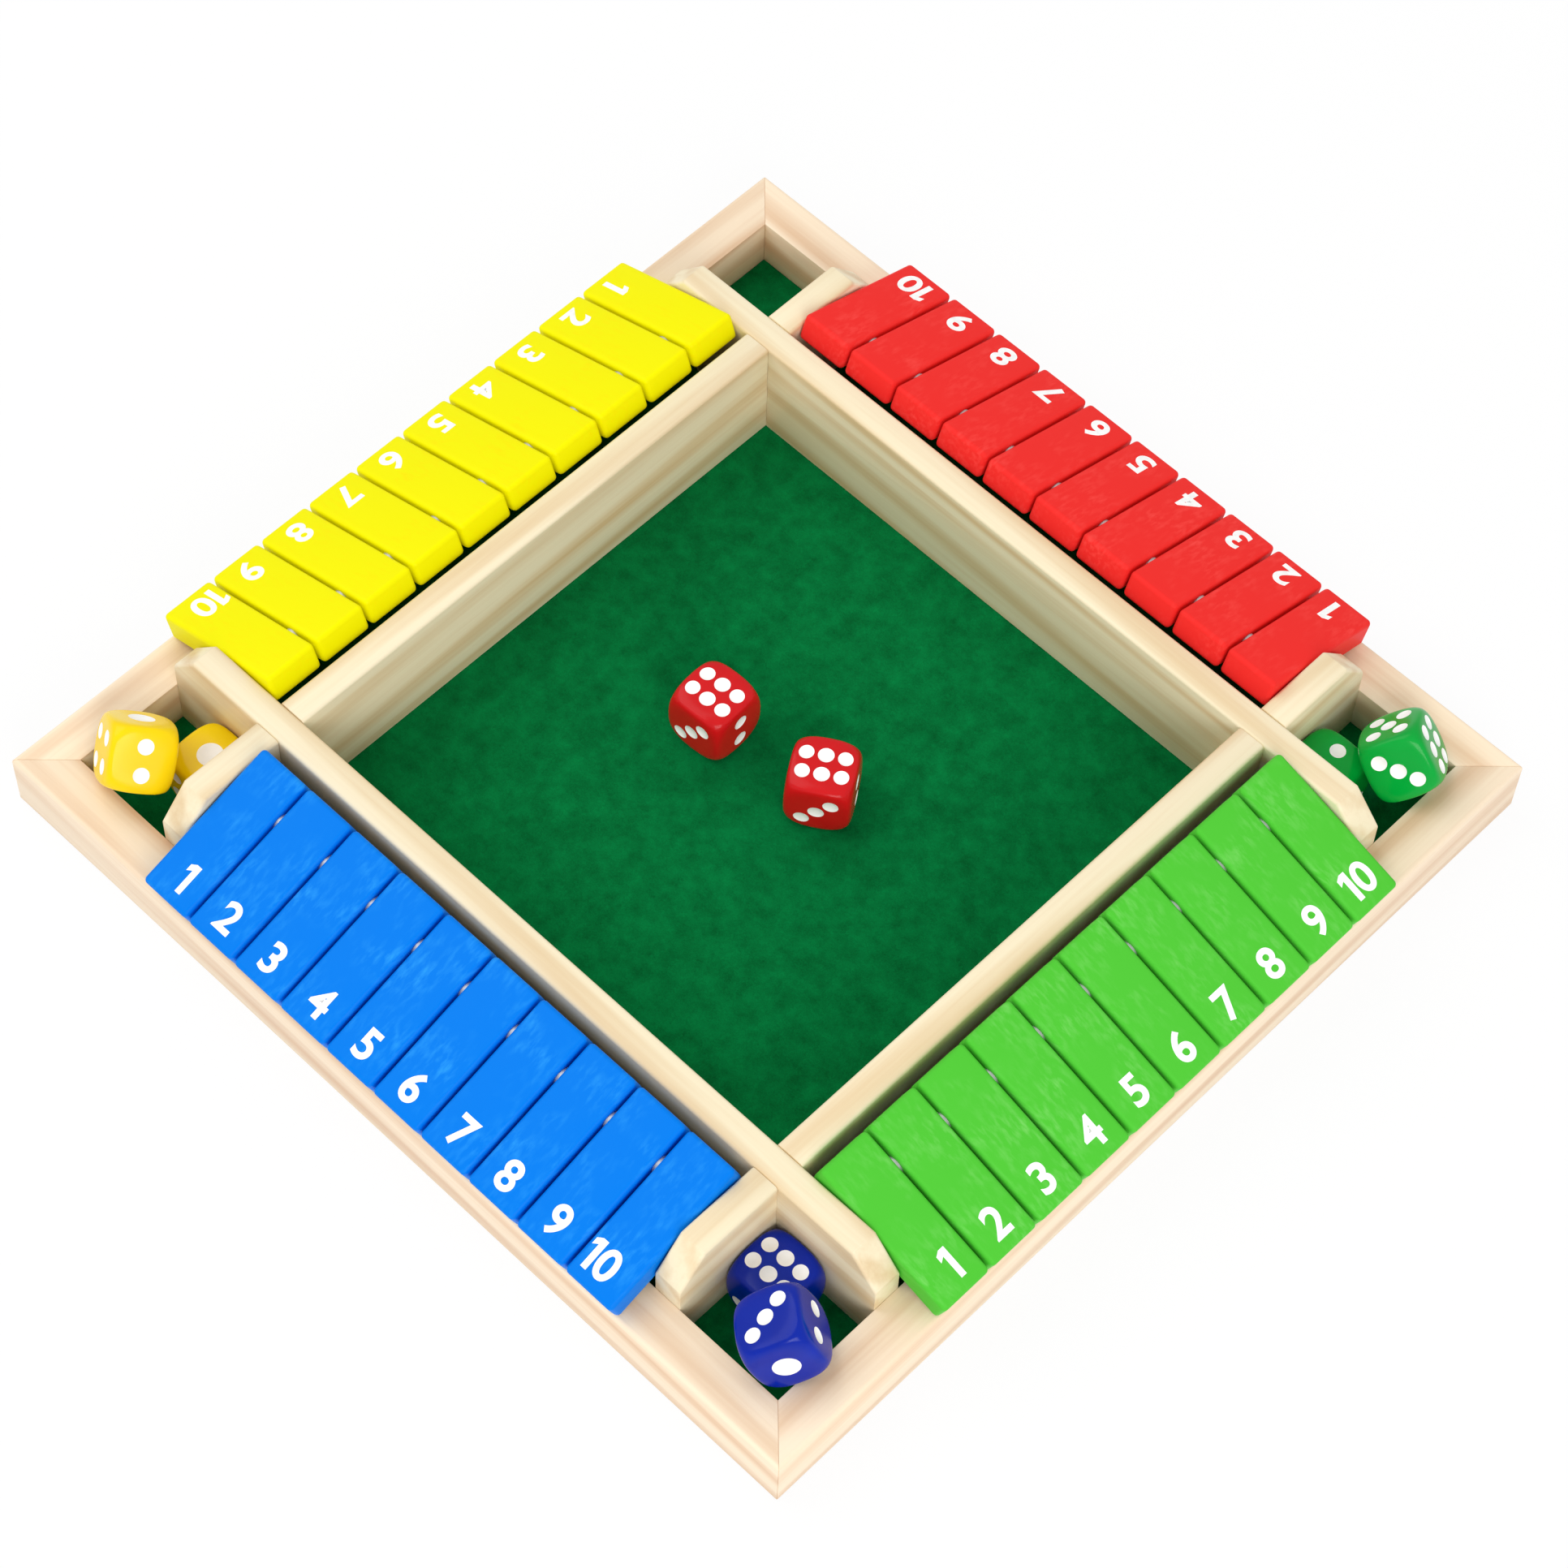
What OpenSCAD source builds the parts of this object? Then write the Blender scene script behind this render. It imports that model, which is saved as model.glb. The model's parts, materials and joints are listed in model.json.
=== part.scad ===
// Shut the box for four players: a square pine tray with a row of ten pivoting
// number tiles on every side, a felt-covered rolling floor in the middle and
// two dice of each player's colour, kept in the corner pockets.
// Origin: centre of the underside. +Z up. +X runs along the blue row, from its
// 1 to its 10. The rows follow one another counter-clockwise: blue at -Y,
// green at +X, red at +Y, yellow at -X. Millimetres.

/* [Tray] */
// Outside width of the square tray
tray_w = 231; // [218:1:244]
// Height of the outer rails
rail_h = 15.5; // [14:0.5:17]
// Width of an outer rail
rail_w = 10.5; // [9.5:0.5:12]
// Radius of the rails' top outer edge
rail_round = 1; // [0.5:0.1:1.5]
// Height of the inner dividers' tops above the table
wall_h = 31; // [30:0.5:33]
// Thickness of an inner divider
wall_t = 7; // [6:0.5:8]
// Radius of a divider's two top edges
wall_round = 0.8; // [0.4:0.1:1.2]
// Clear width of a tile trough, from divider to rail
trough_w = 27.5; // [26.5:0.5:30]
// Length of the chamfer at a divider's ends
chamfer_l = 7; // [5:0.5:9]
// Drop of the chamfer at a divider's ends
chamfer_drop = 8; // [6:0.5:9]
// Thickness of the base board
base_t = 2; // [1.5:0.5:3]
// Thickness of the felt
felt_t = 0.6; // [0.4:0.1:1]

/* [Number tiles] */
// Length of a tile
tile_l = 37.5; // [34:0.5:39]
// Thickness of a tile
tile_t = 7; // [6:0.5:8]
// Gap between neighbouring tiles
tile_gap = 0.8; // [0.5:0.1:1.2]
// Radius of a tile's long edges
tile_round = 0.8; // [0.4:0.1:1.2]
// Distance from a tile's inner end to its pivot
tail_l = 9.3; // [8:0.1:10]
// Distance from the divider's face to the pivot
pivot_in = 12; // [11.5:0.5:13.5]
// Depth of the pivot below the dividers' tops
pivot_drop = 3; // [2.5:0.5:4]
// Diameter of a pivot rod
rod_d = 2; // [1.6:0.1:2.6]
// Diameter of a spacer washer
washer_d = 4.6; // [4:0.1:6.4]

/* [Dice] */
// Width of a die across its faces
die_w = 15.2; // [13:0.1:17.5]

/* [Hidden] */
// Sides of the tray, as quarter turns from the blue side
BLUE = 0;
GREEN = 1;
RED = 2;
YELLOW = 3;
paint = ["dodgerblue", "limegreen", "red", "yellow"];
die_paint = ["mediumblue", "green", "firebrick", "gold"];
pine = "burlywood";
tiles_per_row = 10;

// Running fit of a tile on its rod, and rod end in its blind hole (radial)
rod_fit = 0.05;
rod_seat = 0.03;
// Clearance of a halved joint on each side of the wall that it holds
lap_fit = 0.05;
// Clearance at the edge of the base board and of the felt
edge_fit = 0.1;
// Clearance on each side of a washer
washer_fit = 0.05;
// Air under a tile's outer edge, where it lies on the rail
tile_rest = 0.02;
// Depth of the blind holes that hold a rod's ends
rod_hole = 4;
// Depth of the step that lets the base board into the rails
rabbet_w = 4;

half_w = tray_w / 2;
rail_in = half_w - rail_w;
wall_out = rail_in - trough_w;
wall_in = wall_out - wall_t;
wall_mid = wall_in + wall_t / 2;
floor_z = base_t + felt_t;
// Height at which the two halves of a crossing meet
lap_z = (floor_z + wall_h) / 2;

pitch = 2 * wall_in / tiles_per_row;
tile_w = pitch - tile_gap;
pivot_r = wall_out + pivot_in;
pivot_z = wall_h - pivot_drop;
reach = tile_l - tail_l;

// A tile lies with its lower outer edge on the rail. Seen from the pivot, the
// centre of that rounded edge is edge_s out and edge_n down, and the tile turns
// until it is edge_fall lower than the pivot. A tile that reaches past the rail
// turns on until its underside meets the rail's rounded outer edge.
edge_s = reach - tile_round;
edge_n = tile_t / 2 - tile_round;
edge_fall = pivot_z - rail_h - tile_round - tile_rest;
edge_tilt = asin(edge_fall / norm([edge_s, edge_n])) - atan2(edge_n, edge_s);
round_out = half_w - rail_round - pivot_r;
round_fall = pivot_z - rail_h + rail_round;
under_tilt = acos((tile_t / 2 + rail_round + tile_rest) / norm([round_out, round_fall]))
    - atan2(round_out, round_fall);
tile_tilt = max(edge_tilt, under_tilt);

// Dice: rounding of the edges, ball that rounds the corners, and the pips
die_round = 0.11 * die_w;
die_ball_r = 0.735 * die_w;
pip_d = 0.24 * die_w;
one_d = 0.39 * die_w;
pip_deep = 0.03 * die_w;
pip_step = 0.21 * die_w;
pip_row = 0.292 * die_w;
pip_gap = 0.325 * die_w;
// Free space between a die and what it lies on or leans on
die_air = 0.02;
lean_air = 0.12;
// Middle of a flat die that stands in the nook between two dividers
nook = wall_out + edge_fit + die_w / 2;

// ---- Tray ----

// Turns what is drawn on the blue side to another side
module on_side(side) {
    rotate([0, 0, 90 * side]) children();
}

// Runs a cross-section (outwards, up) along the blue side, centred on the row
module along_row(length) {
    rotate([90, 0, -90]) linear_extrude(height = length, center = true) children();
}

// Rail cross-section: round outer top edge, step under the inner edge
module rail_section() {
    difference() {
        union() {
            translate([rail_in, 0]) square([rail_w - rail_round, rail_h]);
            translate([rail_in, 0]) square([rail_w, rail_h - rail_round]);
            translate([half_w - rail_round, rail_h - rail_round])
                circle(r = rail_round, $fn = 32);
        }
        translate([rail_in - 1, -1]) square([rabbet_w + 1, base_t + 1]);
    }
}

// Outer rail, mitred at 45 degrees to its neighbours
module outer_rail(side) {
    color(pine) on_side(side) intersection() {
        along_row(tray_w + 2) rail_section();
        translate([0, 0, -1]) linear_extrude(height = rail_h + 2)
            polygon([[0, 0], [-half_w - 2, -half_w - 2], [half_w + 2, -half_w - 2]]);
    }
}

// Base board, let into the rails from below
module base_board() {
    size = 2 * (rail_in + rabbet_w - edge_fit);
    color(pine) translate([-size / 2, -size / 2, 0]) cube([size, size, base_t]);
}

// Felt sheet, glued over the whole floor before the dividers go in
module felt_lining() {
    size = 2 * (rail_in - edge_fit);
    color("darkgreen") translate([-size / 2, -size / 2, base_t]) cube([size, size, felt_t]);
}

// Divider cross-section, with its two top edges rounded
module wall_section() {
    tall = wall_h - floor_z;
    translate([wall_in, floor_z]) square([wall_t, tall - wall_round]);
    translate([wall_in + wall_round, floor_z]) square([wall_t - 2 * wall_round, tall]);
    for (x = [wall_in + wall_round, wall_out - wall_round])
        translate([x, wall_h - wall_round]) circle(r = wall_round, $fn = 32);
}

// Full-length divider with chamfered ends. The dividers of opposite sides are
// halved from below, the other two from above, and each has two blind holes
// for the ends of the rods that run across it.
module divider(side) {
    from_below = side % 2 == 0;
    color(pine) on_side(side) difference() {
        intersection() {
            along_row(2 * rail_in) wall_section();
            translate([0, 1 - wall_in, 0]) rotate([90, 0, 0])
                linear_extrude(height = wall_t + 2)
                    polygon([
                        [-rail_in, 0], [rail_in, 0], [rail_in, wall_h - chamfer_drop],
                        [rail_in - chamfer_l, wall_h], [chamfer_l - rail_in, wall_h],
                        [-rail_in, wall_h - chamfer_drop]
                    ]);
        }
        for (x = [-wall_mid, wall_mid])
            translate([x - wall_t / 2 - lap_fit, -wall_out - 1, from_below ? 0 : lap_z - lap_fit])
                cube([wall_t + 2 * lap_fit, wall_t + 2, from_below ? lap_z + lap_fit : wall_h]);
        for (x = [-pivot_r, pivot_r])
            translate([x, -wall_in - rod_hole, pivot_z]) rotate([-90, 0, 0])
                cylinder(d = rod_d + 2 * rod_seat, h = rod_hole + 1, $fn = 48);
    }
}

// ---- Rods, washers and tiles ----

// One steel rod a row, its ends held in the dividers at the row's ends
module pivot_rods() {
    length = 2 * (wall_in + rod_hole - edge_fit);
    color("silver") for (side = [BLUE, GREEN, RED, YELLOW]) on_side(side)
        translate([-length / 2, -pivot_r, pivot_z]) rotate([0, 90, 0])
            cylinder(d = rod_d, h = length, $fn = 48);
}

// Thin washers between neighbouring tiles, threaded on the rods
module spacer_washers() {
    thick = tile_gap - 2 * washer_fit;
    color("gainsboro") for (side = [BLUE, GREEN, RED, YELLOW]) on_side(side)
        for (k = [1 : tiles_per_row - 1])
            translate([k * pitch - wall_in - thick / 2, -pivot_r, pivot_z]) rotate([0, 90, 0])
                difference() {
                    cylinder(d = washer_d, h = thick, $fn = 48);
                    translate([0, 0, -1]) cylinder(d = rod_d + 2 * rod_fit, h = thick + 2, $fn = 48);
                }
}

// Tile cross-section about its pivot: outer end at +x, number face up
module tile_section() {
    low = -tile_t / 2;
    difference() {
        union() {
            translate([-tail_l + tile_round, low]) square([tile_l - 2 * tile_round, tile_t]);
            translate([-tail_l, low + tile_round]) square([tile_l, tile_t - 2 * tile_round]);
            for (x = [tile_round - tail_l, reach - tile_round], y = [-edge_n, edge_n])
                translate([x, y]) circle(r = tile_round, $fn = 32);
        }
        circle(d = rod_d + 2 * rod_fit, $fn = 48);
    }
}

// Number tile on its rod, sloping down to the rail that its outer edge lies on
module tile(side, number) {
    x = (number - 0.5) * pitch - wall_in;
    color(paint[side]) on_side(side) translate([x, 0, 0])
        along_row(tile_w) translate([pivot_r, pivot_z]) rotate(-tile_tilt) tile_section();
}

// ---- Dice ----

// A round hollow in the top face, where its middle is at (x, y)
module pip(x, y, d = pip_d) {
    r = (d * d / 4 + pip_deep * pip_deep) / (2 * pip_deep);
    translate([x, y, die_w / 2 + r - pip_deep]) sphere(r = r, $fn = 48);
}

// Square of a die's width with rounded corners, drawn out both ways
module die_prism() {
    core = die_w / 2 - die_round;
    linear_extrude(height = die_w + 2, center = true) {
        square([die_w, 2 * core], center = true);
        square([2 * core, die_w], center = true);
        for (x = [-core, core], y = [-core, core])
            translate([x, y]) circle(r = die_round, $fn = 32);
    }
}

// Die about its middle: six on top, three in front, two on the right
module die(side) {
    color(die_paint[side]) difference() {
        intersection() {
            die_prism();
            rotate([90, 0, 0]) die_prism();
            rotate([0, 90, 0]) die_prism();
            sphere(r = die_ball_r, $fn = 96);
        }
        for (x = [-pip_row, 0, pip_row], y = [-pip_gap / 2, pip_gap / 2]) pip(x, y);
        rotate([180, 0, 0]) pip(0, 0, one_d);
        rotate([90, 0, 0]) for (k = [-1, 0, 1]) pip(k * pip_step, k * pip_step);
        rotate([-90, 0, 0]) for (x = [-pip_step, pip_step], y = [-pip_step, pip_step]) pip(x, y);
        rotate([0, 90, 0]) for (x = [-pip_step, pip_step]) pip(x, 0);
        rotate([0, -90, 0]) {
            pip(0, 0);
            for (x = [-pip_step, pip_step], y = [-pip_step, pip_step]) pip(x, y);
        }
    }
}

// A die on the middle floor, its place given in shares of the floor's half width
module loose_die(side, share, turn) {
    translate([share.x * wall_in, share.y * wall_in, floor_z + die_w / 2 + die_air])
        rotate([0, 0, turn]) die(side);
}

// The corner pocket to the right of a side, as signs of X and Y
function corner(side) = [[1, -1], [1, 1], [-1, 1], [-1, -1]][side];

// Middle of the die that stands flat in the nook of that pocket
function flat_place(side) =
    [corner(side).x * nook, corner(side).y * nook, floor_z + die_w / 2 + die_air];

// A direction turned about X, then Y, then Z, as rotate() does it
function turned(v, turn) = let (
    a = [v.x, v.y * cos(turn.x) - v.z * sin(turn.x), v.y * sin(turn.x) + v.z * cos(turn.x)],
    b = [a.x * cos(turn.y) + a.z * sin(turn.y), a.y, a.z * cos(turn.y) - a.x * sin(turn.y)])
    [b.x * cos(turn.z) - b.y * sin(turn.z), b.x * sin(turn.z) + b.y * cos(turn.z), b.z];

// How far a turned die reaches from its middle in a direction
function die_reach(turn, way) = min(die_ball_r, die_round + (die_w / 2 - die_round) * (
    abs(way * turned([1, 0, 0], turn)) + abs(way * turned([0, 1, 0], turn))
    + abs(way * turned([0, 0, 1], turn))));

// Point at distances d along three unit directions n
function planes_meet(n, d) =
    (d[0] * cross(n[1], n[2]) + d[1] * cross(n[2], n[0]) + d[2] * cross(n[0], n[1]))
    / (n[0] * cross(n[1], n[2]));

// Middle of a die that leans in its pocket. It lies with one face against the
// flat die (away is its own direction that points from there) and against the
// inner top edges of the two rails, which it touches at the given bearings
// above level. off_rails holds it clear of a rail, in shares of its width.
function leaning_place(side, turn, away, bearing, off_rails) = let (
    lean = turned(away, turn),
    off_x = [-corner(side).x * cos(bearing.x), 0, sin(bearing.x)],
    off_y = [0, -corner(side).y * cos(bearing.y), sin(bearing.y)],
    edge = [corner(side).x * rail_in, corner(side).y * rail_in, rail_h])
    planes_meet([lean, off_x, off_y], [
        lean * flat_place(side) + die_reach([0, 0, 0], lean) + die_reach(turn, lean) + lean_air,
        off_x * edge + die_reach(turn, off_x) + lean_air + off_rails.x * die_w,
        off_y * edge + die_reach(turn, off_y) + lean_air + off_rails.y * die_w
    ]);

// The two dice of a corner pocket
module flat_die(side, turn) {
    translate(flat_place(side)) rotate(turn) die(side);
}

module leaning_die(side, turn, away, bearing, off_rails) {
    translate(leaning_place(side, turn, away, bearing, off_rails)) rotate(turn) die(side);
}

outer_rail(BLUE);  // outer_rail_blue
outer_rail(GREEN);  // outer_rail_green
outer_rail(RED);  // outer_rail_red
outer_rail(YELLOW);  // outer_rail_yellow
base_board();
felt_lining();
divider(BLUE);  // divider_blue
divider(GREEN);  // divider_green
divider(RED);  // divider_red
divider(YELLOW);  // divider_yellow
pivot_rods();
spacer_washers();
tile(BLUE, 1);  // tile_blue_1
tile(BLUE, 2);  // tile_blue_2
tile(BLUE, 3);  // tile_blue_3
tile(BLUE, 4);  // tile_blue_4
tile(BLUE, 5);  // tile_blue_5
tile(BLUE, 6);  // tile_blue_6
tile(BLUE, 7);  // tile_blue_7
tile(BLUE, 8);  // tile_blue_8
tile(BLUE, 9);  // tile_blue_9
tile(BLUE, 10);  // tile_blue_10
tile(GREEN, 1);  // tile_green_1
tile(GREEN, 2);  // tile_green_2
tile(GREEN, 3);  // tile_green_3
tile(GREEN, 4);  // tile_green_4
tile(GREEN, 5);  // tile_green_5
tile(GREEN, 6);  // tile_green_6
tile(GREEN, 7);  // tile_green_7
tile(GREEN, 8);  // tile_green_8
tile(GREEN, 9);  // tile_green_9
tile(GREEN, 10);  // tile_green_10
tile(RED, 1);  // tile_red_1
tile(RED, 2);  // tile_red_2
tile(RED, 3);  // tile_red_3
tile(RED, 4);  // tile_red_4
tile(RED, 5);  // tile_red_5
tile(RED, 6);  // tile_red_6
tile(RED, 7);  // tile_red_7
tile(RED, 8);  // tile_red_8
tile(RED, 9);  // tile_red_9
tile(RED, 10);  // tile_red_10
tile(YELLOW, 1);  // tile_yellow_1
tile(YELLOW, 2);  // tile_yellow_2
tile(YELLOW, 3);  // tile_yellow_3
tile(YELLOW, 4);  // tile_yellow_4
tile(YELLOW, 5);  // tile_yellow_5
tile(YELLOW, 6);  // tile_yellow_6
tile(YELLOW, 7);  // tile_yellow_7
tile(YELLOW, 8);  // tile_yellow_8
tile(YELLOW, 9);  // tile_yellow_9
tile(YELLOW, 10);  // tile_yellow_10
loose_die(RED, [-0.289, 0.046], 2.8);  // die_red_left
loose_die(RED, [0.132, 0.095], 32.3);  // die_red_right
flat_die(BLUE, [0, 0, 0]);  // die_blue_flat
leaning_die(BLUE, [-101.5, -28, 55.1], [0, 0, -1], [47.1, 16.9], [0, 0]);  // die_blue_tilted
flat_die(GREEN, [0, -90, 90]);  // die_green_flat
leaning_die(GREEN, [-40.5, 44.6, -3.8], [0, 0, 1], [41.2, 48.5], [0.1, 0]);  // die_green_tilted
flat_die(YELLOW, [180, 0, 0]);  // die_yellow_flat
leaning_die(YELLOW, [152.6, -39.1, -20.3], [0, 1, 0], [27.9, 63.9], [0.24, 0]);  // die_yellow_tilted
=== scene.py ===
import json
import math

import bpy
from mathutils import Euler, Matrix, Vector


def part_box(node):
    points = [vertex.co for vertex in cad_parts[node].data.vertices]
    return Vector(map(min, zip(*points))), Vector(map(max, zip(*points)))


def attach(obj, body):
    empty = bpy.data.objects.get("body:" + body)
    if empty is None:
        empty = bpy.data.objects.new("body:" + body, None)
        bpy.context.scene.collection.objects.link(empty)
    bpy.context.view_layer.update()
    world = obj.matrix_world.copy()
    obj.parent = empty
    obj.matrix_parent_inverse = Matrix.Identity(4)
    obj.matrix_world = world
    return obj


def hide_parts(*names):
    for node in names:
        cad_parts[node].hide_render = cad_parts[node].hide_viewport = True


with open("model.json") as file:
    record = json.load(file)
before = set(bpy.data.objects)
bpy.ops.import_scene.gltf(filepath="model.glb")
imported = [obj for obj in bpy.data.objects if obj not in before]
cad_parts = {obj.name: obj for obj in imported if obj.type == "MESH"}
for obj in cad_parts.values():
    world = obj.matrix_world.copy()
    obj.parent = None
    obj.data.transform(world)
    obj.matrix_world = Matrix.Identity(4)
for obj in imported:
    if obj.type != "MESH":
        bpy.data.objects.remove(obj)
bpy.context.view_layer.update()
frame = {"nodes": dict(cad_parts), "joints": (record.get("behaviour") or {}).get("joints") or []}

camera_place = Vector((0.3311, -0.3636, 0.8039))
camera_azimuth = math.radians(41.97)
camera_elevation = math.radians(58.32)
camera_roll = math.radians(2.83)
camera_lens = 98.8
camera_sensor = 36
camera_far = 20

bpy.ops.object.select_all(action="DESELECT")
bpy.ops.object.camera_add()
camera = bpy.context.object
camera.name = "photo_camera"
camera.data.lens = camera_lens
camera.data.sensor_width = camera_sensor
camera.data.clip_end = camera_far
camera.matrix_world = (
    Matrix.Translation(camera_place)
    @ Matrix.Rotation(camera_azimuth, 4, "Z")
    @ Matrix.Rotation(math.pi / 2 - camera_elevation, 4, "X")
    @ Matrix.Rotation(camera_roll, 4, "Z")
)
bpy.context.scene.camera = camera

# ---- Light and table ----
# A wide soft lamp above and to the left of the board, a smaller and lower one
# from the front right, an even white surround, and a plain white table.
bpy.context.scene.view_settings.view_transform = "Standard"

surround_strength = 0.72
table_width = 8
table_drop = 0.0002
table_grey = 0.9
table_whitening = 0.9


def soft_lamp(name, place, width, watts):
    """A square lamp that faces the middle of the board."""
    bpy.ops.object.light_add(type="AREA", location=place)
    lamp = bpy.context.object
    lamp.name = name
    lamp.data.size = width
    lamp.data.energy = watts
    lamp.rotation_euler = (-Vector(place)).to_track_quat("-Z", "Y").to_euler()


soft_lamp("left_lamp", place=(-1.0, -0.3, 1.4), width=1.6, watts=11)
soft_lamp("right_lamp", place=(1.2, -0.8, 0.9), width=0.9, watts=12)

surround = bpy.data.worlds.new("white_surround")
bpy.context.scene.world = surround
surround.use_nodes = True
surround_light = surround.node_tree.nodes["Background"]
surround_light.inputs["Color"].default_value = (1, 1, 1, 1)
surround_light.inputs["Strength"].default_value = surround_strength


def new_material(name):
    """A material with its node lists and its Principled shader."""
    material = bpy.data.materials.new(name)
    material.use_nodes = True
    nodes = material.node_tree.nodes
    return material, nodes, material.node_tree.links, nodes["Principled BSDF"]


def add_node(nodes, kind, sockets=None, **settings):
    """A shader node with its settings made and its unlinked sockets filled."""
    node = nodes.new("ShaderNode" + kind)
    for setting, value in settings.items():
        setattr(node, setting, value)
    for socket, value in (sockets or {}).items():
        node.inputs[socket].default_value = value
    return node


def table_material():
    """Matt white that looks whiter still, straight on and in reflections."""
    material, nodes, links, shader = new_material("table_white")
    shader.inputs["Base Color"].default_value = (table_grey, table_grey, table_grey, 1)
    shader.inputs["Roughness"].default_value = 0.8
    rays = add_node(nodes, "LightPath")
    seen = rays.outputs["Is Camera Ray"]
    for ray in ("Is Glossy Ray", "Is Transmission Ray"):
        either = add_node(nodes, "Math", operation="MAXIMUM")
        links.new(seen, either.inputs[0])
        links.new(rays.outputs[ray], either.inputs[1])
        seen = either.outputs[0]
    share = add_node(nodes, "Math", {1: table_whitening}, operation="MULTIPLY")
    glow = add_node(nodes, "Emission")
    both = add_node(nodes, "MixShader")
    links.new(seen, share.inputs[0])
    links.new(share.outputs[0], both.inputs["Fac"])
    links.new(shader.outputs["BSDF"], both.inputs[1])
    links.new(glow.outputs["Emission"], both.inputs[2])
    links.new(both.outputs["Shader"], nodes["Material Output"].inputs["Surface"])
    return material


bpy.ops.mesh.primitive_plane_add(size=table_width, location=(0, 0, -table_drop))
table = bpy.context.object
table.name = "table"
table.data.materials.append(table_material())

# ---- Outer rails ----
# Four rails of planed pine under a clear satin lacquer, mitred and glued at
# the corners, with the outer top edge rounded over and a step below for the
# base board.
mm = 0.001
sides = ["blue", "green", "red", "yellow"]

rail_low, rail_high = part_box("outer_rail_blue")
board_half = -rail_low[1]
rail_inside = -rail_high[1]
rail_height = rail_high[2]
rail_round = 1 * mm
rail_ease = 0.2 * mm
base_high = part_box("base_board")[1]
step_air = 0.1 * mm
step_half = base_high[0] + step_air
step_height = base_high[2]
overrun = 1 * mm

# Corners this close to a face are taken to be on it.
near = 0.2 * mm

rail_pine_pale = (247, 226, 197)
rail_pine_dark = (224, 187, 149)


def screen_colour(red, green, blue):
    """A colour as seen on a screen, 0 to 255, as the shader wants it."""
    channels = []
    for value in (red / 255, green / 255, blue / 255):
        channels.append(value / 12.92 if value <= 0.04045 else ((value + 0.055) / 1.055) ** 2.4)
    return channels + [1]


def add_block(name, low, high):
    """A box between two corners, alone in the selection."""
    bpy.ops.object.select_all(action="DESELECT")
    middle = [(a + b) / 2 for a, b in zip(low, high)]
    bpy.ops.mesh.primitive_cube_add(size=1, location=middle)
    block = bpy.context.object
    block.name = name
    block.scale = [b - a for a, b in zip(low, high)]
    bpy.ops.object.transform_apply(location=True, rotation=True, scale=True)
    return block


def select_edges(block, wanted):
    """Goes into edit mode with only the edges chosen whose two ends pass."""
    bpy.ops.object.mode_set(mode="EDIT")
    bpy.ops.mesh.select_mode(type="EDGE")
    bpy.ops.mesh.select_all(action="DESELECT")
    bpy.ops.object.mode_set(mode="OBJECT")
    points = block.data.vertices
    for edge in block.data.edges:
        edge.select = wanted(*[points[i].co for i in edge.vertices])
    bpy.ops.object.mode_set(mode="EDIT")


def bevel_chosen(width, steps):
    """Rounds what is selected in edit mode, and leaves edit mode."""
    bpy.ops.mesh.bevel(offset=width, segments=steps)
    bpy.ops.object.mode_set(mode="OBJECT")


def saw(point, normal):
    """Saws off the active block beyond a plane and closes the cut."""
    bpy.ops.object.mode_set(mode="EDIT")
    bpy.ops.mesh.select_all(action="SELECT")
    bpy.ops.mesh.bisect(
        plane_co=point,
        plane_no=Vector(normal).normalized(),
        use_fill=True,
        clear_outer=True,
        threshold=1e-6,
    )
    bpy.ops.object.mode_set(mode="OBJECT")


def choose_only(block):
    """Makes a block the only selected one and the active one."""
    bpy.ops.object.select_all(action="DESELECT")
    block.select_set(True)
    bpy.context.view_layer.objects.active = block


def soften(angle=40):
    """Shades the selected piece smooth, but for edges sharper than an angle."""
    bpy.ops.object.shade_smooth_by_angle(angle=math.radians(angle))


def cut_away(block, tool):
    """Takes the tool's shape out of the block and throws the tool away."""
    cut = block.modifiers.new("cut", "BOOLEAN")
    cut.operation = "DIFFERENCE"
    cut.solver = "EXACT"
    cut.material_mode = "TRANSFER" if tool.data.materials else "INDEX"
    cut.object = tool
    choose_only(block)
    bpy.ops.object.modifier_apply(modifier="cut")
    bpy.data.objects.remove(tool)


def ease_edges(block, width):
    """Takes the sharpness off the edges of a finished block."""
    ease = block.modifiers.new("ease", "BEVEL")
    ease.width = width
    ease.segments = 2
    ease.limit_method = "ANGLE"
    ease.angle_limit = math.radians(35)
    choose_only(block)
    bpy.ops.object.modifier_apply(modifier="ease")
    soften()


def quarter_turns(count):
    """The turn about the board's middle that takes the blue side to another."""
    return Matrix.Rotation(count * math.pi / 2, 4, "Z")


def placed_copy(piece, name, move):
    """A copy with its own mesh, turned and moved by a matrix."""
    copy = piece.copy()
    copy.data = piece.data.copy()
    copy.name = copy.data.name = name
    copy.data.transform(move)
    bpy.context.collection.objects.link(copy)
    return copy


def new_group(name, inputs, outputs):
    """An empty node group with its named inputs and outputs."""
    group = bpy.data.node_groups.new(name, "ShaderNodeTree")
    for direction, sockets in (("INPUT", inputs), ("OUTPUT", outputs)):
        for socket, kind in sockets.items():
            group.interface.new_socket(
                name=socket, in_out=direction, socket_type="NodeSocket" + kind
            )
    entry = group.nodes.new("NodeGroupInput")
    leave = group.nodes.new("NodeGroupOutput")
    return group, entry, leave


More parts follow.
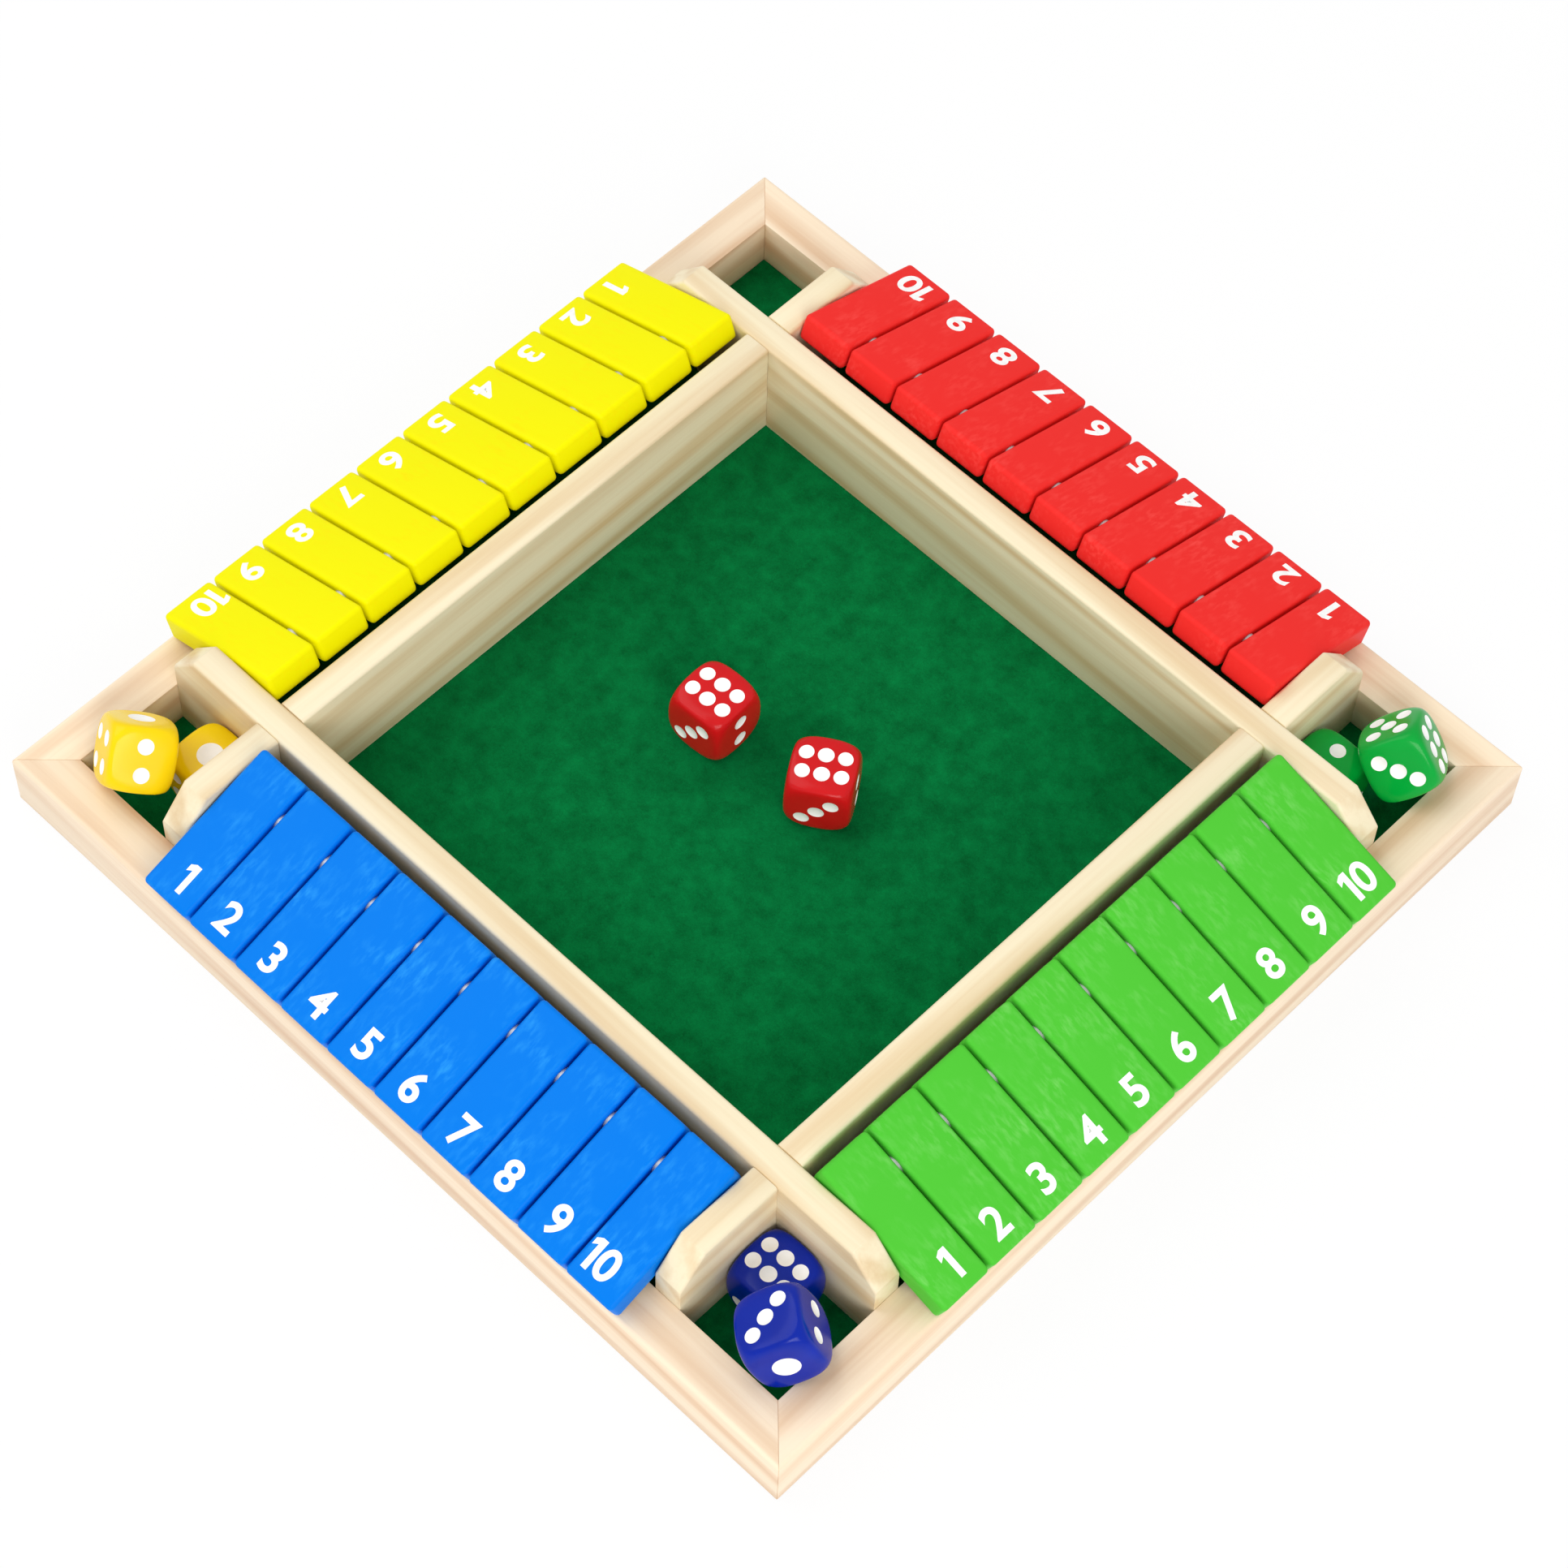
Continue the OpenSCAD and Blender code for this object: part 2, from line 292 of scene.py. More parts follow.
def pine_group():
    """Pine grain along X: pale wood, darker rings drawn out, fine pores."""
    group, entry, leave = new_group(
        "pine_grain",
        {"Vector": "Vector", "Pale": "Color", "Dark": "Color"},
        {"Color": "Color", "Roughness": "Float", "Height": "Float"},
    )
    nodes, links = group.nodes, group.links

    def drawn_out(texture, along, across):
        """Feeds a texture that is stretched along the grain."""
        stretch = add_node(nodes, "Mapping", {"Scale": (along, across, across)})
        links.new(entry.outputs["Vector"], stretch.inputs["Vector"])
        links.new(stretch.outputs["Vector"], texture.inputs["Vector"])
        return texture.outputs["Fac"]

    def streaky_noise(along, across, detail):
        """Noise in streaks that run along the grain."""
        noise = add_node(nodes, "TexNoise", {"Scale": 1, "Detail": detail})
        return drawn_out(noise, along, across)

    def scaled(value, factor, offset=0):
        """A value times a factor, plus an offset."""
        node = add_node(nodes, "Math", {1: factor, 2: offset}, operation="MULTIPLY_ADD")
        links.new(value, node.inputs[0])
        return node.outputs[0]

    def joined(value, other, operation="ADD"):
        """Two values added, or multiplied."""
        node = add_node(nodes, "Math", operation=operation)
        links.new(value, node.inputs[0])
        links.new(other, node.inputs[1])
        return node.outputs[0]

    broad = streaky_noise(along=7, across=95, detail=3)
    pores = streaky_noise(along=60, across=1400, detail=2)
    fine = streaky_noise(along=12, across=480, detail=3)
    rings = add_node(
        nodes,
        "TexWave",
        {"Scale": 0.5, "Distortion": 5, "Detail": 2, "Detail Scale": 0.7},
        bands_direction="DIAGONAL",
    )
    ringed = joined(drawn_out(rings, along=6, across=130), broad, "MULTIPLY")
    ramp = add_node(nodes, "ValToRGB")
    ramp.color_ramp.elements[0].position = 0.12
    ramp.color_ramp.elements[1].position = 0.75
    links.new(ringed, ramp.inputs["Fac"])
    streaks = joined(scaled(pores, 0.3), scaled(fine, 0.9, -0.55))
    depth = joined(ramp.outputs["Color"], streaks)
    tint = add_node(nodes, "Mix", data_type="RGBA")
    links.new(depth, tint.inputs["Factor"])
    links.new(entry.outputs["Pale"], tint.inputs["A"])
    links.new(entry.outputs["Dark"], tint.inputs["B"])
    links.new(tint.outputs["Result"], leave.inputs["Color"])
    links.new(scaled(pores, 0.2, 0.4), leave.inputs["Roughness"])
    links.new(joined(pores, depth), leave.inputs["Height"])
    return group


def grained_material(name, grain, colours, turn, relief_strength, relief_depth):
    """A finish from a grain group, which is turned about the vertical."""
    material, nodes, links, shader = new_material(name)
    coordinates = add_node(nodes, "TexCoord")
    lie = add_node(nodes, "Mapping", {"Rotation": (0, 0, math.radians(turn))})
    surface = add_node(nodes, "Group", node_tree=grain)
    for socket, colour in colours.items():
        surface.inputs[socket].default_value = screen_colour(*colour)
    relief = add_node(nodes, "Bump", {"Strength": relief_strength, "Distance": relief_depth})
    links.new(coordinates.outputs["Object"], lie.inputs["Vector"])
    links.new(lie.outputs["Vector"], surface.inputs["Vector"])
    links.new(surface.outputs["Color"], shader.inputs["Base Color"])
    links.new(surface.outputs["Roughness"], shader.inputs["Roughness"])
    links.new(surface.outputs["Height"], relief.inputs["Height"])
    links.new(relief.outputs["Normal"], shader.inputs["Normal"])
    return material, shader


pine_grain = pine_group()


def pine_material(name, pale, dark, turn):
    """Lacquered pine with its grain turned about the vertical."""
    colours = {"Pale": pale, "Dark": dark}
    material, shader = grained_material(name, pine_grain, colours, turn, 0.25, 0.05 * mm)
    shader.inputs["Coat Weight"].default_value = 0.15
    shader.inputs["Coat Roughness"].default_value = 0.3
    return material


rail_pine_x = pine_material("rail_pine_along_x", rail_pine_pale, rail_pine_dark, turn=0)
rail_pine_y = pine_material("rail_pine_along_y", rail_pine_pale, rail_pine_dark, turn=90)

rail = add_block(
    "rail", (-board_half, -board_half, 0), (board_half, -rail_inside, rail_height)
)
saw((-board_half, -board_half, 0), (-1, 1, 0))
saw((board_half, -board_half, 0), (1, 1, 0))
select_edges(
    rail,
    lambda a, b: max(a.y, b.y) < near - board_half and min(a.z, b.z) > rail_height - near,
)
bevel_chosen(rail_round, steps=5)
step = add_block(
    "step", (-step_half, -step_half, -overrun), (step_half, step_half, step_height)
)
cut_away(rail, step)
ease_edges(rail, rail_ease)

for turns, side in enumerate(sides):
    outer_rail = placed_copy(rail, "pine_rail_" + side, quarter_turns(turns))
    outer_rail.data.materials.append(rail_pine_y if turns % 2 else rail_pine_x)
    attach(outer_rail, "tray")
    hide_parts("outer_rail_" + side)
bpy.data.objects.remove(rail)

# ---- Base board ----
# A thin plain board let into the rails from below and glued. It shows only
# from underneath.
board_wood = pine_material("board_wood", (228, 200, 158), (205, 170, 122), turn=0)
base_board = frame["nodes"]["base_board"]
base_board.data.materials.clear()
base_board.data.materials.append(board_wood)

# ---- Felt ----
# One sheet of short-piled green felt, glued down over the whole floor before
# the dividers go in, with the slight unevenness of glued cloth.
felt_low, felt_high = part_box("felt_lining")
felt_width = felt_high[0] - felt_low[0]
felt_thick = felt_high[2] - felt_low[2]
felt_cells = 120

# The sheet lies a little lower than its solid and is thinner, so that its
# waves stay inside it.
felt_sink = 0.08 * mm
felt_spare = 0.15 * mm
felt_unevenness = 0.03 * mm

felt_dark = (0, 84, 38)
felt_light = (2, 122, 61)


def felt_rise(x, y):
    """Height of the glued cloth's long and short waves, at a place in millimetres."""
    long_waves = math.sin(x * 0.23 + 1.3) * math.sin(y * 0.31)
    return long_waves + 0.6 * math.sin(x * 0.71 - y * 0.53)


def felt_material():
    """Matt green felt: fibres over soft clouds of colour, and a little nap."""
    material, nodes, links, shader = new_material("green_felt")
    coordinates = add_node(nodes, "TexCoord")
    fibres = add_node(nodes, "TexNoise", {"Scale": 1500, "Detail": 4, "Distortion": 1.5})
    clouds = add_node(nodes, "TexNoise", {"Scale": 240, "Detail": 5})
    clouds_share = add_node(nodes, "Math", {1: 0.6}, operation="MULTIPLY")
    mottle = add_node(nodes, "Math", {1: 0.4}, operation="MULTIPLY_ADD")
    pile = add_node(nodes, "ValToRGB")
    pile.color_ramp.elements[0].position = 0.3
    pile.color_ramp.elements[0].color = screen_colour(*felt_dark)
    pile.color_ramp.elements[1].position = 0.7
    pile.color_ramp.elements[1].color = screen_colour(*felt_light)
    nap = add_node(nodes, "Bump", {"Strength": 0.6, "Distance": 0.15 * mm})
    links.new(coordinates.outputs["Object"], fibres.inputs["Vector"])
    links.new(coordinates.outputs["Object"], clouds.inputs["Vector"])
    links.new(clouds.outputs["Fac"], clouds_share.inputs[0])
    links.new(fibres.outputs["Fac"], mottle.inputs[0])
    links.new(clouds_share.outputs[0], mottle.inputs[2])
    links.new(mottle.outputs[0], pile.inputs["Fac"])
    links.new(pile.outputs["Color"], shader.inputs["Base Color"])
    links.new(fibres.outputs["Fac"], nap.inputs["Height"])
    links.new(nap.outputs["Normal"], shader.inputs["Normal"])
    shader.inputs["Roughness"].default_value = 0.95
    shader.inputs["Specular IOR Level"].default_value = 0.03
    shader.inputs["Sheen Weight"].default_value = 0.03
    shader.inputs["Sheen Roughness"].default_value = 0.5
    return material


bpy.ops.object.select_all(action="DESELECT")
bpy.ops.mesh.primitive_grid_add(
    x_subdivisions=felt_cells,
    y_subdivisions=felt_cells,
    size=felt_width,
    location=(0, 0, felt_high[2] - felt_sink),
)
felt = bpy.context.object
felt.name = "felt_sheet"
bpy.ops.object.transform_apply(location=True, rotation=True, scale=True)
for point in felt.data.vertices:
    point.co.z += felt_unevenness * felt_rise(point.co.x / mm, point.co.y / mm)
cloth = felt.modifiers.new("thickness", "SOLIDIFY")
cloth.thickness = felt_thick - felt_spare
cloth.offset = -1
bpy.ops.object.modifier_apply(modifier="thickness")
soften()
felt.data.materials.append(felt_material())
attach(felt, "tray")
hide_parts("felt_lining")

# ---- Inner dividers ----
# Four full-length pine boards on edge, glued to the felted floor between the
# rails and halved over each other at the four crossings. Their top ends are
# sawn off at a slant and their top edges are softened.
wall_low, wall_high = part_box("divider_blue")
wall_out, wall_in = -wall_low[1], -wall_high[1]
wall_thick = wall_out - wall_in
wall_middle = (wall_out + wall_in) / 2
wall_top = wall_high[2]
wall_round = 0.8 * mm
wall_ease = 0.12 * mm
slant_length = 7 * mm
slant_drop = 8 * mm
half_joint = (wall_low[2] + wall_top) / 2
joint_air = 0.05 * mm

divider_pale = (241, 227, 193)
divider_dark = (220, 190, 143)
divider_pine_x = pine_material("divider_pine_along_x", divider_pale, divider_dark, turn=0)
divider_pine_y = pine_material("divider_pine_along_y", divider_pale, divider_dark, turn=90)


def long_top_edge(a, b):
    """Whether an edge runs along the divider's top or down its slants."""
    on_top = min(a.z, b.z) > wall_top - slant_drop - near
    return on_top and abs(a.y - b.y) < near and (a - b).length > near


def make_divider(notch_low, notch_high):
    """The blue side's divider, with its two crossings cut between heights."""
    board = add_block("divider", wall_low, wall_high)
    for end in (-1, 1):
        slant_start = end * (rail_inside - slant_length)
        saw((slant_start, 0, wall_top), (end * slant_drop, 0, slant_length))
    select_edges(board, long_top_edge)
    bevel_chosen(wall_round, steps=4)
    notch_half = wall_thick / 2 + joint_air
    for middle in (-wall_middle, wall_middle):
        notch = add_block(
            "notch",
            (middle - notch_half, -wall_out - overrun, notch_low),
            (middle + notch_half, -wall_in + overrun, notch_high),
        )
        cut_away(board, notch)
    ease_edges(board, wall_ease)
    return board


from_below = make_divider(wall_low[2] - overrun, half_joint + joint_air)
from_above = make_divider(half_joint - joint_air, wall_top + overrun)
for turns, side in enumerate(sides):
    crosses_over = turns % 2
    halved = from_above if crosses_over else from_below
    divider = placed_copy(halved, "pine_divider_" + side, quarter_turns(turns))
    divider.data.materials.append(divider_pine_y if crosses_over else divider_pine_x)
    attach(divider, "tray")
    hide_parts("divider_" + side)
bpy.data.objects.remove(from_below)
bpy.data.objects.remove(from_above)

# ---- Rods and washers ----
# A drawn steel rod runs through each row of tiles into the dividers at its
# ends, with a thin bright washer between neighbouring tiles.


def steel_material(name, colour, roughness):
    """Bare steel with fine marks from drawing or stamping."""
    material, nodes, links, shader = new_material(name)
    coordinates = add_node(nodes, "TexCoord")
    marks = add_node(nodes, "TexNoise", {"Scale": 2500, "Detail": 2})
    spread = add_node(nodes, "MapRange", {"To Min": roughness - 0.08, "To Max": roughness + 0.1})
    links.new(coordinates.outputs["Object"], marks.inputs["Vector"])
    links.new(marks.outputs["Fac"], spread.inputs["Value"])
    links.new(spread.outputs["Result"], shader.inputs["Roughness"])
    shader.inputs["Base Color"].default_value = screen_colour(*colour)
    shader.inputs["Metallic"].default_value = 1
    return material


steels = {
    "pivot_rods": steel_material("rod_steel", (190, 190, 190), roughness=0.35),
    "spacer_washers": steel_material("washer_steel", (205, 205, 205), roughness=0.5),
}
for node, steel in steels.items():
    frame["nodes"][node].data.materials.clear()
    frame["nodes"][node].data.materials.append(steel)

# ---- Number tiles ----
# Forty wooden tiles under gloss paint, ten of a colour, bored across near the
# inner end for the rod. They slope down to the rails, where their outer edges
# rest. The paint shows a little of the wood's grain and rounds every edge.
tile_length = 37.5 * mm
tile_thick = 7 * mm
tile_tail = 9.3 * mm
tile_reach = tile_length - tile_tail
tile_low, tile_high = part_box("tile_blue_1")
tile_width = tile_high[0] - tile_low[0]
tile_round = 1.1 * mm
rod_width = 2 * mm
rod_air = 0.05 * mm

# A tile rests with its lower outer edge on the rail. From the pivot, the
# middle of that edge's rounding is edge_out along the tile and edge_down
# below it, and edge_fall lower than the pivot once the tile lies down.
hinges = {joint["child"]: joint for joint in frame["joints"] if joint["type"] == "hinge"}
pivot_height = hinges["tile_blue_1"]["pos_m"][2]
edge_round = 0.8 * mm
rest_air = 0.02 * mm
edge_out = tile_reach - edge_round
edge_down = tile_thick / 2 - edge_round
edge_fall = pivot_height - rail_height - edge_round - rest_air
edge_slope = math.atan2(edge_down, edge_out)
tile_tilt = math.asin(edge_fall / math.hypot(edge_out, edge_down)) - edge_slope

# The tile is made about its pivot, outer end towards -Y, number face up.
tile_block = add_block(
    "tile",
    (-tile_width / 2, -tile_reach, -tile_thick / 2),
    (tile_width / 2, tile_tail, tile_thick / 2),
)
bpy.ops.object.mode_set(mode="EDIT")
bpy.ops.mesh.select_all(action="SELECT")
bevel_chosen(tile_round, steps=6)
bpy.ops.object.select_all(action="DESELECT")
bpy.ops.mesh.primitive_cylinder_add(
    vertices=32,
    radius=rod_width / 2 + rod_air,
    depth=2 * tile_width,
    rotation=(0, math.pi / 2, 0),
)
cut_away(tile_block, bpy.context.object)
soften()


def paint_group():
    """Brushed gloss paint over wood: faint grain along Y and uneven gloss."""
    group, entry, leave = new_group(
        "painted_wood",
        {"Vector": "Vector", "Paint": "Color", "Thin Paint": "Color"},
        {"Color": "Color", "Roughness": "Float", "Height": "Float"},
    )
    nodes, links = group.nodes, group.links
    stretch = add_node(nodes, "Mapping", {"Scale": (900, 60, 900)})
    grain = add_node(nodes, "TexNoise", {"Scale": 1, "Detail": 3})
    patches = add_node(nodes, "TexNoise", {"Scale": 90, "Detail": 2})
    thin = add_node(nodes, "MapRange", {"From Min": 0.4, "From Max": 0.8})
    streaks = add_node(nodes, "MapRange", {"From Min": 0.45, "From Max": 0.75})
    worn = add_node(nodes, "Math", operation="MULTIPLY")
    tint = add_node(nodes, "Mix", data_type="RGBA")
    gloss = add_node(nodes, "MapRange", {"To Min": 0.32, "To Max": 0.48})
    links.new(entry.outputs["Vector"], stretch.inputs["Vector"])
    links.new(stretch.outputs["Vector"], grain.inputs["Vector"])
    links.new(entry.outputs["Vector"], patches.inputs["Vector"])
    links.new(patches.outputs["Fac"], thin.inputs["Value"])
    links.new(grain.outputs["Fac"], streaks.inputs["Value"])
    links.new(thin.outputs["Result"], worn.inputs[0])
    links.new(streaks.outputs["Result"], worn.inputs[1])
    links.new(worn.outputs[0], tint.inputs["Factor"])
    links.new(entry.outputs["Paint"], tint.inputs["A"])
    links.new(entry.outputs["Thin Paint"], tint.inputs["B"])
    links.new(grain.outputs["Fac"], gloss.inputs["Value"])
    links.new(tint.outputs["Result"], leave.inputs["Color"])
    links.new(gloss.outputs["Result"], leave.inputs["Roughness"])
    links.new(grain.outputs["Fac"], leave.inputs["Height"])
    return group


painted_wood = paint_group()


def paint_material(name, paint, thin_paint, turn):
    """Gloss paint of one colour, with the grain turned to the row."""
    colours = {"Paint": paint, "Thin Paint": thin_paint}
    material, shader = grained_material(name, painted_wood, colours, turn, 0.15, 0.04 * mm)
    shader.inputs["Specular IOR Level"].default_value = 0.05
    shader.inputs["Coat Weight"].default_value = 0.01
    shader.inputs["Coat Roughness"].default_value = 0.25
    return material


paints = {
    "blue": paint_material("blue_tile_paint", (0, 121, 227), (46, 158, 240), turn=0),
    "green": paint_material("green_tile_paint", (80, 194, 55), (126, 213, 104), turn=90),
    "red": paint_material("red_tile_paint", (238, 47, 43), (248, 80, 74), turn=0),
    "yellow": paint_material("yellow_tile_paint", (242, 237, 0), (246, 228, 0), turn=90),
}


def white_paint(name, fineness, detail, span, dull, bright, roughness):
    """White that turns from dull to bright over a span of a fine noise."""
    material, nodes, links, shader = new_material(name)
    coordinates = add_node(nodes, "TexCoord")
    cover = add_node(nodes, "TexNoise", {"Scale": fineness, "Detail": detail})
    white = add_node(nodes, "ValToRGB")
    for element, position, colour in zip(white.color_ramp.elements, span, (dull, bright)):
        element.position = position
        element.color = screen_colour(*colour)
    links.new(coordinates.outputs["Object"], cover.inputs["Vector"])
    links.new(cover.outputs["Fac"], white.inputs["Fac"])
    links.new(white.outputs["Color"], shader.inputs["Base Color"])
    shader.inputs["Roughness"].default_value = roughness
    return material


number_white = white_paint(
    "number_white",
    fineness=700,
    detail=3,
    span=(0.25, 0.55),
    dull=(238, 238, 236),
    bright=(252, 252, 250),
    roughness=0.45,
)

number_height = 7.2 * mm
number_middle = 21.8 * mm
figure_gap = 0.5 * mm
stroke = 0.2 * number_height
ink_thick = 0.05 * mm
hair = 0.01 * mm

# The font's figures stand this share of its size high, and their outlines are
# thickened by this share of it.
height_share = 0.75
bold_share = 0.026

# Ones and some tens were printed clearly off the middle, the others hardly.
one_shift = 0.9 * mm
ten_shifts = {"blue": -1.8 * mm, "green": -0.3 * mm, "red": -0.3 * mm, "yellow": -1.8 * mm}
slight_shift = 0.3 * mm


def make_one():
    """The figure 1: a stem, with the top of its left side drawn out to a flag."""
    bpy.ops.object.select_all(action="DESELECT")
    bpy.ops.mesh.primitive_plane_add(size=1)
    figure = bpy.context.object
    figure.scale = (stroke, number_height, 1)
    bpy.ops.object.transform_apply(location=True, rotation=True, scale=True)
    flag_foot = number_height / 2 - 1.1 * stroke
    flag_drawn = (-0.85 * stroke, -0.55 * stroke, 0)
    bpy.ops.object.mode_set(mode="EDIT")
    bpy.ops.mesh.select_all(action="SELECT")
    bpy.ops.mesh.bisect(plane_co=(0, flag_foot, 0), plane_no=(0, 1, 0), threshold=1e-6)
    bpy.ops.object.mode_set(mode="OBJECT")
    select_edges(figure, lambda a, b: max(a.x, b.x) < 0 and min(a.y, b.y) > flag_foot - hair)
    bpy.ops.mesh.extrude_edges_move(TRANSFORM_OT_translate={"value": flag_drawn})
    bpy.ops.mesh.select_all(action="SELECT")
    bpy.ops.mesh.extrude_region_move(TRANSFORM_OT_translate={"value": (0, 0, ink_thick)})
    bpy.ops.mesh.select_all(action="SELECT")
    bpy.ops.mesh.normals_make_consistent(inside=False)
    bpy.ops.object.mode_set(mode="OBJECT")
    return figure


def make_figure(figure_text):
    """One printed figure, flat on its back; a 9 is a 6 turned round."""
    if figure_text == "1":
        return make_one()
    bpy.ops.object.select_all(action="DESELECT")
    bpy.ops.object.text_add()
    figure = bpy.context.object
    figure.data.body = "6" if figure_text == "9" else figure_text
    figure.data.size = number_height / height_share
    figure.data.offset = bold_share * figure.data.size
    figure.data.extrude = ink_thick / 2
    bpy.ops.object.convert(target="MESH")
    figure = bpy.context.object
    figure.data.transform(Matrix.Translation((0, 0, ink_thick / 2)))
    if figure_text == "9":
        figure.data.transform(Matrix.Rotation(math.pi, 4, "Z"))
    return figure


def extent(figure, axis):
    """The least and the most of a figure's corners along X, 0, or Y, 1."""
    places = [point.co[axis] for point in figure.data.vertices]
    return min(places), max(places)


def make_number(number):
    """A number about the pivot, printed on the tile and read from its outer end."""
    figures = []
    edge = 0
    for figure_text in str(number):
        figure = make_figure(figure_text)
        left, right = extent(figure, 0)
        foot, head = extent(figure, 1)
        figure.data.transform(Matrix.Translation((edge - left, -(foot + head) / 2, 0)))
        edge += right - left + figure_gap
        figures.append(figure)
    middle = (edge - figure_gap) / 2
    choose_only(figures[0])
    for figure in figures:
        figure.select_set(True)
    if len(figures) > 1:
        bpy.ops.object.join()
    whole = bpy.context.object
    whole.data.transform(Matrix.Translation((-middle, -number_middle, tile_thick / 2)))
    return whole


def print_shift(side, number):
    """How far a number was printed off the middle of its tile."""
    if number == 1:
        return one_shift
    if number == 10:
        return ten_shifts[side]
    return slight_shift * math.sin(2.3 * number + len(side))


numbers = {number: make_number(number) for number in range(1, 11)}
lay_down = Matrix.Rotation(tile_tilt, 4, "X")
for turns, side in enumerate(sides):
    for number, number_block in numbers.items():
        node = f"tile_{side}_{number}"
        at_pivot = Matrix.Translation(hinges[node]["pos_m"]) @ quarter_turns(turns) @ lay_down
        at_number = at_pivot @ Matrix.Translation((print_shift(side, number), 0, 0))

        tile = placed_copy(tile_block, f"wood_tile_{side}_{number}", at_pivot)
        tile.data.materials.clear()
        tile.data.materials.append(paints[side])
        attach(tile, node)
        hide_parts(node)

        printed = placed_copy(number_block, f"number_{side}_{number}", at_number)
        printed.data.materials.clear()
        printed.data.materials.append(number_white)
        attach(printed, node)
for master in [tile_block, *numbers.values()]:
    bpy.data.objects.remove(master)

# ---- Dice ----
# Eight moulded plastic dice, two of each player's colour, tumbled until edges
# and corners are round, with shallow pips filled with white paint.
die_low, die_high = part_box("die_blue_flat")
die_width = die_high[2] - die_low[2]
die_half = die_width / 2
die_ball = 0.72 * die_width
die_cuts = 40
grind_sharpness = 16
pip_width = 0.24 * die_width
lone_pip_width = 0.39 * die_width
pip_depth = 0.03 * die_width
pip_step = 0.21 * die_width
pip_row = 0.292 * die_width
pip_gap = 0.325 * die_width

pip_white = white_paint(
    "pip_white",
    fineness=900,
    detail=2,
    span=(0, 1),
    dull=(246, 246, 244),
    bright=(255, 255, 254),
    roughness=0.4,
)


def die_plastic(name, colour, deep):
    """Polished plastic of one colour with faint flow marks and handling haze."""
    material, nodes, links, shader = new_material(name)
    coordinates = add_node(nodes, "TexCoord")
    flow = add_node(nodes, "TexNoise", {"Scale": 110, "Detail": 2, "Distortion": 0.8})
    colours = {"A": screen_colour(*colour), "B": screen_colour(*deep)}
    tint = add_node(nodes, "Mix", colours, data_type="RGBA")
    haze = add_node(nodes, "MapRange", {"To Min": 0.12, "To Max": 0.28})
    links.new(coordinates.outputs["Object"], flow.inputs["Vector"])
    links.new(flow.outputs["Fac"], tint.inputs["Factor"])
    links.new(flow.outputs["Fac"], haze.inputs["Value"])
    links.new(tint.outputs["Result"], shader.inputs["Base Color"])
    links.new(haze.outputs["Result"], shader.inputs["Roughness"])
    shader.inputs["Specular IOR Level"].default_value = 0.15
    shader.inputs["Coat Weight"].default_value = 0.1
    shader.inputs["Coat Roughness"].default_value = 0.1
    return material


plastics = {
    "red": die_plastic("red_die", (212, 24, 28), (190, 12, 18)),
    "blue": die_plastic("blue_die", (0, 40, 168), (0, 28, 142)),
    "green": die_plastic("green_die", (0, 170, 62), (0, 152, 50)),
    "yellow": die_plastic("yellow_die", (247, 216, 0), (244, 204, 0)),
}

# A finely cut cube is ground to a ball and six flats that run into each other.
die_block = add_block("die", [-die_half] * 3, [die_half] * 3)
bpy.ops.object.mode_set(mode="EDIT")
bpy.ops.mesh.select_all(action="SELECT")
bpy.ops.mesh.subdivide(number_cuts=die_cuts)
bpy.ops.object.mode_set(mode="OBJECT")
for point in die_block.data.vertices:
    reaches = [abs(way) / die_half for way in point.co] + [point.co.length / die_ball]
    point.co /= sum(reach**grind_sharpness for reach in reaches) ** (1 / grind_sharpness)
die_block.data.materials.append(plastics["red"])
die_block.data.materials.append(pip_white)

